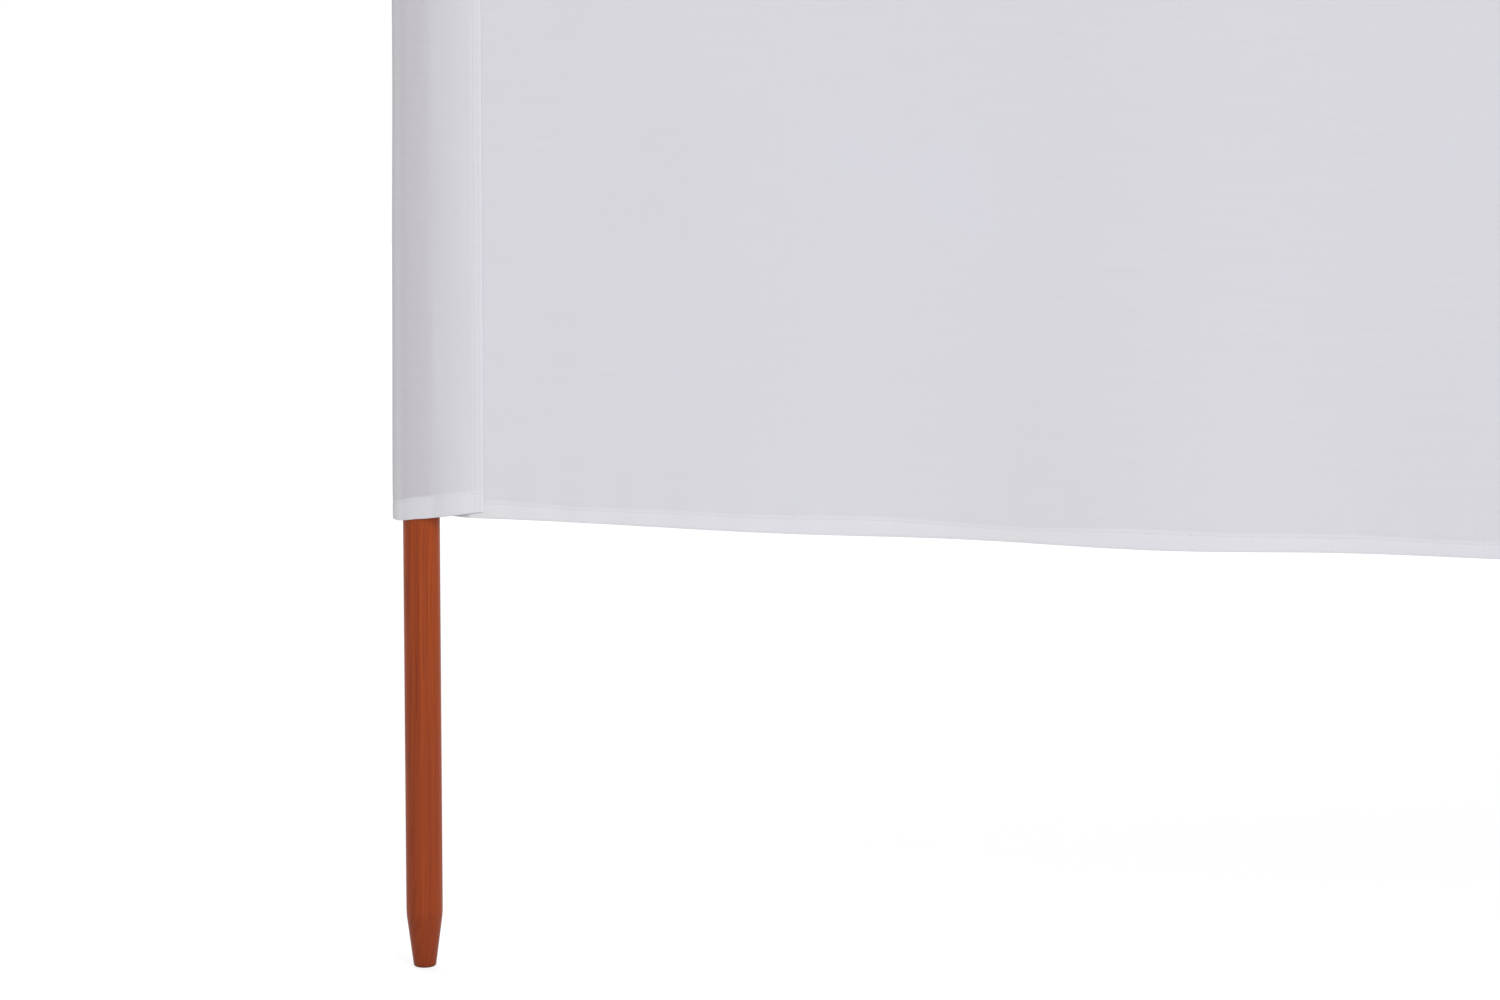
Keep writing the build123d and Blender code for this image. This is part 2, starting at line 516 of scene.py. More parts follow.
WEAVE_CONTRASTS = (0.035, 0.2)  # over open air, and over a pole
SLUBS_PER_METRE = (14.0, 260.0, 1.0)  # along the thicker threads and across them
CLOUDS_PER_METRE = 5.5  # soft changes of tone
CLOTH_NOISE_DETAIL = 3.0
COOL_TINT = (0.993, 0.996, 1.022)
COOL_SPAN = (0.35, 0.65)  # clouds from the cloth's own colour to the cool tint
SHADE_SPAN = (0.3, 0.7)  # slubs and clouds from their darkest to their palest shade
SLUB_SHADES = (0.992, 1.008)
CLOUD_SHADES = (0.994, 1.006)
CLOTH_ROUGHNESS = (0.92, 0.8)  # in the gaps of the weave, and on its threads
CLOTH_RELIEF = (0.35, 0.12 * MM)  # strength and depth
CLOTH_SPECULAR = 0.2
CLOTH_SHEEN = 0.06


def cloth_material(settings):
    """Matt woven cloth; masks on the mesh say how many layers there are, what lies behind, and how much
    painted shade of a sleeve's hollow darkens it.
    """
    _, tree, shader = new_material("woven cloth")
    uv = node(tree, "ShaderNodeUVMap", uv_map="cloth").outputs[0]
    masks = {}
    for mask in ("layers", "pole_behind", "painted_hollow_shade"):
        masks[mask] = node(tree, "ShaderNodeAttribute", attribute_name=mask).outputs["Fac"]
    contrast = map_range(tree, masks["pole_behind"], 0.0, 1.0, *WEAVE_CONTRASTS)
    feed = {"Place": uv, "Pitch": settings.thread_pitch, "Contrast": contrast}
    weave = use_group(tree, "plain weave", feed)
    slub_place = node(tree, "ShaderNodeMapping", {"Vector": uv, "Scale": SLUBS_PER_METRE}).outputs[0]
    slub = noise(tree, slub_place, 1.0, CLOTH_NOISE_DETAIL)
    cloud = noise(tree, uv, CLOUDS_PER_METRE, CLOTH_NOISE_DETAIL)
    base = blend_colour(tree, masks["layers"], settings.single_colour, settings.layered_colour)
    cool = map_range(tree, cloud, *COOL_SPAN, 0.0, 1.0)
    tints = ((cool, COOL_TINT), (masks["pole_behind"], settings.backed_tint))
    # The hollow's tint is painted shade of a sleeve's hollow, not a colour of the cloth.
    for factor, tint in (*tints, (masks["painted_hollow_shade"], settings.hollow_shade_tint)):
        base = blend_colour(tree, factor, base, tinted(tree, base, tint))
    shade = weave["Shade"]
    for pattern, shades in ((slub, SLUB_SHADES), (cloud, CLOUD_SHADES)):
        shade = sums(tree, "MULTIPLY", shade, map_range(tree, pattern, *SHADE_SPAN, *shades))
    tone = node(tree, "ShaderNodeCombineXYZ", {"X": shade, "Y": shade, "Z": shade}).outputs[0]
    looks = {
        "Base Color": tinted(tree, base, tone),
        "Roughness": map_range(tree, weave["Height"], 0.0, 1.0, *CLOTH_ROUGHNESS),
        "Normal": relief(tree, weave["Height"], *CLOTH_RELIEF),
        "Specular IOR Level": CLOTH_SPECULAR,
        "Sheen Weight": CLOTH_SHEEN,
    }
    set_inputs(tree, shader, looks)


TWISTS_PER_METRE = 2600.0
TWIST_DETAIL = 1.0
TWIST_SHADE = 0.82  # painted shade in the hollows of the twist, as a share of the thread's colour
THREAD_RELIEF = (0.4, 0.05 * MM)  # strength and depth
THREAD_ROUGHNESS = 0.6


def thread_material(settings):
    """Twisted sewing thread, with painted shade in the hollows of its twist."""
    _, tree, shader = new_material("sewing thread")
    place = node(tree, "ShaderNodeTexCoord").outputs["Object"]
    twist = noise(tree, place, TWISTS_PER_METRE, TWIST_DETAIL)
    # Painted shade: the thread's colour, darkened for the hollows of the twist.
    dark = [TWIST_SHADE * value for value in settings.colour]
    looks = {
        "Base Color": blend_colour(tree, twist, dark, settings.colour),
        "Roughness": THREAD_ROUGHNESS,
        "Normal": relief(tree, twist, *THREAD_RELIEF),
    }
    set_inputs(tree, shader, looks)


class WINDBREAK_OT_weave_cloth(bpy.types.Operator):
    """Make the materials of the cloth and the thread"""

    bl_idname = "windbreak.weave_cloth"
    bl_label = "Weave Cloth"

    def execute(self, context):
        weave_group()
        cloth_material(context.scene.windbreak_cloth)
        thread_material(context.scene.windbreak_stitching)
        return {"FINISHED"}


# Poles

FIRST_GRAIN_TURN = 247.0  # degrees that the first pole's grain is turned
NEXT_GRAIN_TURN = 67.0  # degrees from one pole's grain to the next
GRAIN_SHIFT = 0.37  # metres that the grain moves up from one pole to the next
PALE_SPAN = (0.32, 0.7)  # drift of the stain from its middle tone to its light one
FIBRE_SPAN = (0.3, 0.7)  # fibre from its weakest to its strongest
RING_DARKNESS = (0.2, 0.7)  # of growth rings in weak and in strong fibre
LINE_SPAN = (0.58, 0.74)  # fibre that shows as dark lines
LINE_DARKNESS = 0.5
SOAKED_HEIGHT = 300 * MM  # stain darkens towards the tip from here
SOAKED_DARKNESS = 0.45
CUT_BLEND = 4 * MM  # below and above the foot's shoulder, where its darker stain ends
CUT_DARKNESS = 0.35
END_GRAIN_DEPTH = 2.5 * MM  # how far the end grain's darker stain, and at the tip painted contact shade, reaches into a pole
# End-grain stain at the tip, deepened by painted contact shade
TIP_STAIN_AND_SHADE = 0.85
HEAD_DARKNESS = 0.4
POLE_ROUGHNESS = (0.36, 0.5)  # of weak and of strong fibre
FIBRE_RELIEF_SHARE = 0.7
RING_RELIEF_SHARE = 0.3
POLE_RELIEF = (0.3, 0.15 * MM)  # strength and depth
POLE_SPECULAR = 0.11


def grain_place(tree, spot, number, place):
    """Point in the wood of one pole, turned and moved so that no two poles are alike."""
    turn = math.radians(FIRST_GRAIN_TURN + NEXT_GRAIN_TURN * (number - 1))
    cos = math.cos(turn)
    sin = math.sin(turn)
    x, y = place
    centre = (sin * y - cos * x, -sin * x - cos * y, GRAIN_SHIFT * number)
    feed = {"Vector": spot, "Location": centre, "Rotation": (0.0, 0.0, turn)}
    return node(tree, "ShaderNodeMapping", feed).outputs[0]


def stained_wood(settings, number, place):
    """Satin stain on the grain of one pole, centred on that pole's axis; the tip is darkened by end-grain
    stain and painted contact shade.
    """
    material, tree, shader = new_material(f"stained wood {number}")
    spot = node(tree, "ShaderNodeTexCoord").outputs["Object"]
    feed = {"Place": grain_place(tree, spot, number, place), "Ring pitch": settings.ring_pitch}
    grain = use_group(tree, "pole grain", feed)
    rings, fibre, drift = (grain[name] for name in ("Rings", "Fibre", "Drift"))
    height = node(tree, "ShaderNodeSeparateXYZ", {"Vector": spot}).outputs["Z"]
    pale = map_range(tree, drift, *PALE_SPAN, 0.0, 1.0)
    base = blend_colour(tree, pale, settings.mid_stain, settings.light_stain)
    darker = (
        sums(tree, "MULTIPLY", rings, map_range(tree, fibre, *FIBRE_SPAN, *RING_DARKNESS)),
        map_range(tree, fibre, *LINE_SPAN, 0.0, LINE_DARKNESS),
        map_range(tree, height, 0.0, SOAKED_HEIGHT, SOAKED_DARKNESS, 0.0),
        map_range(tree, height, FOOT_HEIGHT - CUT_BLEND, FOOT_HEIGHT + CUT_BLEND, CUT_DARKNESS, 0.0),
    )
    for factor in darker:
        base = blend_colour(tree, factor, base, settings.dark_stain)
    # The tip's darkening is end-grain stain plus painted contact shade.
    tip_stain_and_shade = map_range(tree, height, 0.0, END_GRAIN_DEPTH, TIP_STAIN_AND_SHADE, 0.0)
    at_head = map_range(tree, height, POLE_LENGTH - END_GRAIN_DEPTH, POLE_LENGTH, 0.0, HEAD_DARKNESS)
    base = blend_colour(tree, sums(tree, "MAXIMUM", tip_stain_and_shade, at_head), base, settings.end_stain_and_shade)
    fibre_relief = sums(tree, "MULTIPLY", fibre, FIBRE_RELIEF_SHARE)
    ring_relief = sums(tree, "MULTIPLY", rings, RING_RELIEF_SHARE)
    looks = {
        "Base Color": base,
        "Roughness": map_range(tree, fibre, *FIBRE_SPAN, *POLE_ROUGHNESS),
        "Normal": relief(tree, sums(tree, "ADD", fibre_relief, ring_relief), *POLE_RELIEF),
        "Specular IOR Level": POLE_SPECULAR,
    }
    set_inputs(tree, shader, looks)
    return material


class WINDBREAK_OT_stain_poles(bpy.types.Operator):
    """Give every pole its stained grain"""

    bl_idname = "windbreak.stain_poles"
    bl_label = "Stain Poles"

    def execute(self, context):
        grain_group()
        for number, place in enumerate(POLES, 1):
            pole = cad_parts[f"pole_{number}"]
            material = stained_wood(context.scene.windbreak_poles, number, place)
            for slot in pole.material_slots:
                slot.material = material
        return {"FINISHED"}


# Shape of a bay's cloth

LOWER_WAVE = 310 * MM  # length of the ripples along the lower edge
LOWER_CREST = 553 * MM  # ripple that stands to the front, along the first bay
CREST_SHIFT_SHARE = 0.37  # of a wave, from one bay's crest to the next bay's
SLOW_WAVE_SHARE = 2.3  # length of a slower ripple, of the main one's
SLOW_RIPPLE_SHARE = 0.35  # depth of the slower ripple, of the main one's
RIPPLE_DEPTH = 3.4 * MM
RIPPLE_GROW = 560 * MM  # distance from a seam over which the ripples grow to their full depth
RIPPLE_FADE = 240 * MM  # height over which a ripple dies away
EDGE_WAVE_SHARE = 0.33  # up and down movement of the lower edge, as a share of the ripple
UPPER_WAVE = 430 * MM  # length of the ripples along the upper edge
UPPER_RIPPLE_SHARE = 0.5  # their depth, of the lower ones'
UPPER_PHASE = 1.7  # radians from one bay's upper ripples to the next bay's
CORNER_FOLDS = 9.0  # folds in a full turn about a corner
CORNER_FOLD_DEPTH = 2.4 * MM
CORNER_FOLD_FADE = 300 * MM
CORNER_FOLD_START_SHARE = 0.35  # of the fade, over which the folds begin
CORNER_FOLD_GROW = 90 * MM  # distance from a seam over which the folds grow to their full depth
CORNER_FOLD_PHASE = 0.9  # radians from one bay's folds to the next bay's
PUCKER_DEPTH = 0.55 * MM
PUCKER_LENGTH = 42 * MM
PUCKER_FADE = 26 * MM
SEAM_PUCKER_SPAN = (-2 * MM, 12 * MM)  # from a seam, over which its puckers begin
HEM_PUCKER_SPAN = (0.0, 30 * MM)  # from a seam, over which the hems' puckers begin
HEM_PUCKER_SHARE = 0.6  # depth of the hems' puckers, of the seams'
SEAM_PUCKER_DRIFT = (0.6, 11.0, 1.0)  # radians of uneven spacing, its radians a metre and radians a bay
HEM_PUCKER_DRIFT = (0.8, 9.0, 2.0)
CORNER_DROOP = 1.0 * MM  # the lower edge hangs this much lower beside a seam
CORNER_WIDTH = 30 * MM  # of a bay's lower corners
TILT_FADE = 55 * MM  # height over which a mouth that is cut askew comes level


def bay_share(bay, along):
    """0 at a bay's seams, 1 in its middle."""
    t = np.clip((along - bay.start) / (bay.end - bay.start), 0.0, 1.0)
    return 4 * t * (1 - t)


def seam_distance(bay, along):
    """Distance to the nearer seam of a bay, negative where the cloth is tucked under it."""
    return np.minimum(along - bay.start, bay.end - along)


def lower_ripple(bay, along, height):
    """Ripples that hang from the lower edge, as shares of their depth."""
    past_crest = along - LOWER_CREST - CREST_SHIFT_SHARE * bay.index * LOWER_WAVE
    main = np.cos(turns(past_crest, LOWER_WAVE))
    slow = np.cos(turns(past_crest + LOWER_WAVE / 2, SLOW_WAVE_SHARE * LOWER_WAVE) + bay.index)
    return (main - SLOW_RIPPLE_SHARE * slow) * np.exp(-(height - CLOTH_LOW) / RIPPLE_FADE)


def upper_ripple(bay, along, height):
    """Ripples that run along the upper edge, as shares of the lower ones' depth."""
    wave = np.cos(turns(along, UPPER_WAVE) + UPPER_PHASE * bay.index)
    return UPPER_RIPPLE_SHARE * wave * np.exp(-(CLOTH_HIGH - height) / RIPPLE_FADE)


def corner_folds(bay, along, height):
    """Shallow folds that run out from the two upper corners of a bay."""
    total = 0.0
    for corner, side in ((bay.start, 1.0), (bay.end, -1.0)):
        across = side * (along - corner)
        down = CLOTH_HIGH - height
        reach = (np.hypot(across, down) + MM) / CORNER_FOLD_FADE
        fold = np.cos(CORNER_FOLDS * np.arctan2(down, across) + CORNER_FOLD_PHASE * bay.index + side)
        total = total + fold * smoothstep(0.0, CORNER_FOLD_START_SHARE, reach) * np.exp(-reach)
    return total


def pucker(bay, distance, drift):
    """Puckers along a line of stitching, unevenly spaced."""
    swing, per_metre, per_bay = drift
    uneven = swing * np.sin(per_metre * distance + per_bay * bay.index)
    return np.sin(turns(distance, PUCKER_LENGTH) + uneven)


def puckers(bay, along, height):
    """Puckers beside the seams and the hems, as shares of their depth."""
    edge = seam_distance(bay, along)
    at_seam = np.exp(-np.maximum(edge, 0.0) / PUCKER_FADE) * smoothstep(*SEAM_PUCKER_SPAN, edge)
    from_hem = np.minimum(height - CLOTH_LOW, CLOTH_HIGH - height) - HEM_HEIGHT
    at_hem = np.exp(-np.abs(from_hem) / PUCKER_FADE) * smoothstep(*HEM_PUCKER_SPAN, edge)
    by_seams = at_seam * pucker(bay, height, SEAM_PUCKER_DRIFT)
    return by_seams + HEM_PUCKER_SHARE * at_hem * pucker(bay, along, HEM_PUCKER_DRIFT)


def cloth_out(bay, along, height):
    """How far a bay's cloth stands to the front of the line between its poles."""
    edge = seam_distance(bay, along)
    ripples = lower_ripple(bay, along, height) + upper_ripple(bay, along, height)
    out = bay.belly * bay_share(bay, along)
    out = out + RIPPLE_DEPTH * smoothstep(0.0, RIPPLE_GROW, edge) * ripples
    folds = smoothstep(0.0, CORNER_FOLD_GROW, edge) * corner_folds(bay, along, height)
    return out + CORNER_FOLD_DEPTH * folds + PUCKER_DEPTH * puckers(bay, along, height)


def cloth_sag(bay, along, height):
    """How far a bay's cloth hangs below its height at the seams."""
    up = np.clip((height - CLOTH_LOW) / CLOTH_HEIGHT, 0.0, 1.0)
    sag = bay_share(bay, along) * (LOWER_SAG * (1 - up) + UPPER_SAG * up)
    edge = seam_distance(bay, along)
    ripple = smoothstep(0.0, RIPPLE_GROW, edge) * lower_ripple(bay, along, height)
    droop = np.exp(-np.maximum(edge, 0.0) / CORNER_WIDTH - (height - CLOTH_LOW) / TILT_FADE)
    return sag + EDGE_WAVE_SHARE * RIPPLE_DEPTH * ripple + CORNER_DROOP * droop


def bay_points(bay, along, height, lift):
    """Points of a bay's cloth, lifted off its middle surface to the front."""
    out = cloth_out(bay, along, height) + lift
    return bay.world(along, out, height - cloth_sag(bay, along, height))


# Rows of a hemmed edge

PINCH_DEPTH = 0.16 * MM  # of the groove that a line of stitching pulls into a hem
PINCH_WIDTH = 1.1 * MM
FOLD_STEPS = 6  # rows round a folded edge
LEAF_SHARES = (0.0, 0.25, 0.5, 0.75)  # rows of a hem's leaf, of the height below its stitching's groove
STITCH_ROW_SHARES = (-1.2, -0.5, 0.0, 0.5, 1.2)  # rows about the stitching, of the groove's width
GROOVE_DEPTH = 0.18 * MM  # of the groove above a hem, where its leaves end
GROOVE_ROWS = ((0.0, 0.3), (0.8 * MM, 1.0), (2.0 * MM, 0.5), (3.6 * MM, 0.0))  # height, share of depth
HEM_EDGE_SPAN = (-0.5 * MM, 0.5 * MM)  # about a hem's turned edge, over which its tone ends
HEM_WANDERS = ((280 * MM, 28 * MM, 1.3 * MM), (170 * MM, 23 * MM, 0.8 * MM))  # wave, crest and size
HEM_WANDER_PHASE = 1.3  # radians from one bay's wander to the next bay's
ROW_BIAS = 0.6  # how much closer the rows lie towards the hems


def pinch(height, stitch_height):
    """Depth of the groove that a line of stitching pulls into a hem."""
    return PINCH_DEPTH * np.exp(-(((height - stitch_height) / PINCH_WIDTH) ** 2))


def hem_rows(hem_height, radius, margin):
    """Heights and lifts of a hem's rows: over its turned edge, down the back leaf, round and up the front."""
    stitch = hem_height - margin
    below = np.array(LEAF_SHARES) * (stitch - 2 * PINCH_WIDTH)
    about = stitch + PINCH_WIDTH * np.array(STITCH_ROW_SHARES)
    front = np.maximum(np.concatenate((below, about)), radius)
    back = front[::-1]
    turn = np.linspace(0.0, np.pi, FOLD_STEPS)
    edge_height = hem_height - radius / 2 + radius / 2 * np.sin(turn)
    edge_lift = radius / 2 * np.cos(turn) - 1.5 * radius  # midway from the fold's axis to the back leaf
    fold_height = radius - radius * np.sin(turn)
    fold_lift = -radius - radius * np.cos(turn)
    above, deep = np.array(GROOVE_ROWS).T
    heights = np.concatenate((edge_height, back, fold_height[1:-1], front, hem_height + above))
    back_lift = pinch(back, stitch) - 2 * radius
    front_lift = -pinch(front, stitch)
    lifts = np.concatenate((edge_lift, back_lift, fold_lift[1:-1], front_lift, -GROOVE_DEPTH * deep))
    return heights, lifts


class HemmedRows:
    """Rows of cloth from the back of its lower hem, round the folds, to the back of its upper hem."""

    def __init__(self, cloth, stitching, hem_height, count):
        heights, lifts = hem_rows(hem_height, cloth.fold_radius, stitching.margin)
        gap = heights[-1]
        middle = CLOTH_LOW + gap + (CLOTH_HEIGHT - 2 * gap) * dense_ends(count, ROW_BIAS)[1:-1]
        self.heights = np.concatenate((CLOTH_LOW + heights, middle, CLOTH_HIGH - heights[::-1]))
        self.lifts = np.concatenate((lifts, np.zeros(len(middle)), lifts[::-1]))
        self.length = run_length(np.stack((self.heights, self.lifts), axis=1))
        back, front = np.nonzero(np.isclose(heights, hem_height - stitching.margin))[0]
        last = len(self.heights) - 1
        self.front_stitches = (front, last - front)
        self.back_stitches = (back, last - back)
        self.hem_height = hem_height

    def hem_mask(self):
        """1 on the hems, 0 on the cloth between them."""
        near = np.minimum(self.heights - CLOTH_LOW, CLOTH_HIGH - self.heights)
        return 1 - blend_about(self.hem_height, HEM_EDGE_SPAN, near)


def near_hem(above, hem_height):
    """0 at the edge of the cloth, 1 at its hem's turned edge, and fading out beyond."""
    return np.minimum(above / hem_height, np.exp((hem_height - above) / TILT_FADE))


def hem_wander(bay, along, heights):
    """Heights of a bay's rows where its hem line strays up or down; the edge of the cloth stays."""
    stray = 0.0
    for wave, crest, size in HEM_WANDERS:
        stray = stray + size * np.cos(turns(along - crest, wave) + HEM_WANDER_PHASE * bay.index)
    stray = stray * smoothstep(0.0, CORNER_WIDTH, seam_distance(bay, along))
    lower = np.maximum(heights - CLOTH_LOW, 0.0)
    upper = np.maximum(CLOTH_HIGH - heights, 0.0)
    return heights + stray * near_hem(lower, HEM_HEIGHT) - stray * near_hem(upper, HEM_HEIGHT)


# Bays

TUCK_SHORT = 1.0 * MM  # a bay is tucked under a seam by this much less than the seam's width
END_STEP = 0.1 * MM  # a close column of points keeps the shading flat up to a cut end
COLUMN_BIAS = 0.55  # how much closer the columns lie towards the seams


class BaySheet:
    """Places of one bay's cloth, on rows from hem to hem and columns from seam to seam."""

    columns = 128
    rows = 80

    def __init__(self, bay, scene):
        cloth = scene.windbreak_cloth
        tuck = cloth.seam_width - TUCK_SHORT
        self.rows_up = HemmedRows(cloth, scene.windbreak_stitching, HEM_HEIGHT, self.rows)
        self.width = bay.end - bay.start + 2 * tuck
        spread = self.width * dense_ends(self.columns, COLUMN_BIAS)
        spread = np.sort(np.append(spread, (END_STEP, self.width - END_STEP)))
        self.along = bay.start - tuck + spread
        heights = hem_wander(bay, self.along[None, :], self.rows_up.heights[:, None])
        self.places = bay_points(bay, self.along[None, :], heights, self.rows_up.lifts[:, None])

    def stitches(self, bay, cloth):
        """Lines of stitching along the hems, on the front and on the back."""
        proud = np.append(bay.front, 0.0) * cloth.thickness / 2
        free = (self.along > bay.start) & (self.along < bay.end)
        lines = [self.places[row, free] + proud for row in self.rows_up.front_stitches]
        return lines + [self.places[row, free] - proud for row in self.rows_up.back_stitches]


class WINDBREAK_OT_hang_bays(bpy.types.Operator):
    """Hang the cloth of every bay, with its folded hems, between the sleeves"""

    bl_idname = "windbreak.hang_bays"
    bl_label = "Hang Bays"

    def execute(self, context):
        cloth = context.scene.windbreak_cloth
        for bay in BAYS:
            number = bay.index + 1
            sheet = BaySheet(bay, context.scene)
            hems = sheet.rows_up.hem_mask()[:, None]
            masks = {"layers": hems, "pole_behind": 0.0, "painted_hollow_shade": 0.0}
            piece = sheet_piece(f"bay_cloth_{number}", sheet, sheet.along, masks, cloth.thickness)
            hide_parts(f"panel_{number}", f"lower_hem_{number}", f"upper_hem_{number}")
        return {"FINISHED"}


# Plan of a sleeve

FRONT_SHARES = ((0.8, 0.36), (0.53, 0.68), (0.27, 0.93))  # of the reach to the seam and of the pole's front
BACK_SHARES = ((0.8, 0.08), (0.53, 0.43), (0.27, 0.79))  # pulled tighter from the seam to the pole
FOLD_SHARES = (  # of the reach to the loose fold and of the pole's front, from the back round to the front
    (0.38, -0.9),
    (0.73, -0.42),
    (0.94, 0.25),
    (1.0, 0.56),
    (0.95, 0.7),
    (0.74, 0.85),
    (0.4, 0.97),
)
POLE_GAP = 0.8 * MM  # from a pole to the middle of the cloth round it
LEAST_GAP = 0.3 * MM  # from a pole to the cloth's inside where the cloth is pressed on it
SEAM_LAP = 1.1 * MM  # a sleeve's turned edge laps this far over the end of a bay
LAYER_GAP = 0.5 * MM  # between the middles of two layers sewn together
BACK_GAP = 0.3 * MM  # a sleeve's back layer lies this far behind the middle of a bay's cloth
BACK_START = 1.0 * MM  # from a seam's inner line to the cut end of the back layer
UNDER_START = 2.0 * MM  # from a seam's inner line to the cut end of the turned edge
UPPER_START = 1.0 * MM  # from a seam's inner line to where the turned edge's upper layer lies flat
TURNED_UNDER_SPANS = 3  # spans of a sleeve's plan that are folded under its seam


class Arm:
    """One side of a sleeve, from its pole towards the seam of a bay."""

    def __init__(self, bay, at_start, seam_width):
        self.along = bay.along if at_start else -bay.along
        self.front = bay.front
        bay_end = bay.start if at_start else bay.pitch - bay.end
        self.edge = bay_end + SEAM_LAP
        self.reach = self.edge - seam_width

    def point(self, along, out):
        """Plan point at a distance along the arm and out to its front."""
        return along * self.along + out * self.front


def arch(arm, side):
    """Plan points of the cloth from the seam up to a pole's front or back."""
    top = POLE_RADIUS + POLE_GAP
    shares = FRONT_SHARES if side > 0 else BACK_SHARES
    return [arm.point(along * arm.reach, side * out * top) for along, out in shares]


def turned_edge(arm, radius):
    """Plan points of the turned edge sewn on the front of a bay, from under it round to its upper layer."""
    low = LAYER_GAP
    high = low + 2 * radius
    bend = arm.edge - radius
    return [
        arm.point(arm.reach + UNDER_START, low),
        arm.point(bend, low),
        arm.point(arm.edge, low + radius),
        arm.point(bend, high),
        arm.point(arm.reach + UPPER_START, high),
    ]


def back_seam(arm):
    """Plan points of a sleeve's back layer where it is sewn on behind a bay."""
    end = arm.reach + BACK_START
    return [arm.point(end, -BACK_GAP), arm.point(end - END_STEP, -BACK_GAP)]


def pole_top(arms, side):
    """Plan point of the cloth on a pole's front or back, straight where the sides stand further out."""
    out = sum(arm.front for arm in arms)
    out = side * out / np.linalg.norm(out)
    nearest = [arch(arm, side)[-1] @ out for arm in arms]
    return out * max(POLE_RADIUS + POLE_GAP, *nearest)


def end_strip(arm, cloth):
    """Plan of an end sleeve, from its back seam round the loose fold to the turned edge on the front."""
    fold = POLE_RADIUS + cloth.fold_slack
    top = POLE_RADIUS + POLE_GAP
    points = [*back_seam(arm), *arch(arm, -1), pole_top([arm], -1)]
    points += [arm.point(-along * fold, out * top) for along, out in FOLD_SHARES]
    points += [pole_top([arm], 1), *arch(arm, 1)[::-1]]
    return points + turned_edge(arm, cloth.fold_radius)[::-1]


def middle_strips(arms, cloth):
    """Plans of a middle sleeve: the strip sewn over the front, and the cloth behind the pole."""
    left, right = arms
    front = turned_edge(left, cloth.fold_radius) + arch(left, 1) + [pole_top(arms, 1)]
    front += arch(right, 1)[::-1] + turned_edge(right, cloth.fold_radius)[::-1]
    back = [*back_seam(left), *arch(left, -1), pole_top(arms, -1)]
    back += [*arch(right, -1)[::-1], *back_seam(right)[::-1]]
    return front[::-1], back


def sleeve_arms(index, cloth):
    """Sides of the sleeve on one pole."""
    arms = []
    if index > 0:
        arms.append(Arm(BAYS[index - 1], False, cloth.seam_width))
    if index < BAY_COUNT:
        arms.append(Arm(BAYS[index], True, cloth.seam_width))
    return arms


def sleeve_strips(index, cloth):
    """Arms of the sleeve on one pole, and for each strip its plan and which of its ends are turned under."""
    arms = sleeve_arms(index, cloth)
    if len(arms) == 1:
        return arms, {"sleeve_cloth": (end_strip(arms[0], cloth), (False, True))}
    front, back = middle_strips(arms, cloth)
    return arms, {"sleeve_front": (front, (True, True)), "sleeve_back": (back, (False, False))}


def plan_normals(line):
    """Directions square to a plan line, to its left."""
    steps = np.gradient(line, axis=0)
    steps = steps / np.linalg.norm(steps, axis=1)[:, None]
    return np.stack((-steps[:, 1], steps[:, 0]), axis=1)


# Sleeves

SHORT_SPAN = 2 * MM  # spans of a plan that are shorter get fewer points
SHORT_SPAN_STEPS = 4
SPAN_STEPS = 8
HEM_PRESS_SPAN = (-3 * MM, 1 * MM)  # about a seam's inner line, over which a hem's layers are pressed flat
HEM_PRESS_SHARE = 0.85
DENT_DEPTH = 0.7 * MM
DENT_LENGTH = 210 * MM
DENT_START_SPAN = (0.0, 8 * MM)  # from a pole's side, over which the dents begin
DENT_END_SPAN = (-9 * MM, 0.0)  # from a seam's inner line, over which they end
DENT_PHASE = 2.1  # radians from one sleeve's dents to the next's
DENT_SIDE_PHASE = 3.0  # radians that the dents on each side are ahead or behind
FOLD_DENT_SHARE = 0.2  # depth of the loose fold's dents, of the others'
FLARE_SHARE = 0.15  # of the loose fold, by which it draws in towards the top of a sleeve
FLARE_HEIGHT = 420 * MM
FOLD_FRONT_SHARES = (-1.0, 0.4)  # of the pole's radius, from the back layer to the front round the loose fold
MOUTH_TILT = ((-1.0, -1.8), (-0.72, -3.0), (0.0, -1.5), (0.45, 0.6), (1.0, 4.0))  # reach share, rise in mm
MOUTH_TILT_STEPS = (6, 8, 6, 6)
HEM_WEDGE = ((-1.0, -1.2), (0.0, 1.0), (0.5, 2.2), (1.0, 2.5))  # reach share, extra hem height in mm
MIDDLE_ASKEW_SHARE = 0.4  # how askew a middle sleeve's mouth is cut, of an end sleeve's

# Tones of a sleeve and the painted shade of its hollow: where they change, and how strong they are
BACKED_SPAN = (-4 * MM, 3 * MM)  # about a pole's side, where the pole behind the cloth ends
TAB_SPAN = (-1.5 * MM, 3.5 * MM)  # about a seam's inner line, where the hollow's painted shade ends
SEWN_SPAN = (-4 * MM, 6 * MM)  # about a seam's inner line, where the cloth comes to lie in layers
BESIDE_POLE_SPAN = (-POLE_RADIUS / 2, -1 * MM)  # about a pole's side, where the painted shade on the loose fold eases
RIM_START = -0.5 * MM  # from a pole's side to where the painted shade on the loose fold begins to deepen again
RIM_END = -1.5 * MM  # from the loose fold's edge to where its painted shade is darkest
EDGE_SHADE_SPAN = (-1.6 * MM, -0.4 * MM)  # about a turned edge, where its shade begins
HOLLOW_LOSS_SHARE = 0.46  # of the hollow's painted shade that goes from the pole to the seam
BESIDE_POLE_SHARE = 0.38  # of the hollow's painted shade that goes beside the pole on the loose fold
RIM_SHARE = 0.25  # of the hollow's painted shade that comes back at the loose fold's edge
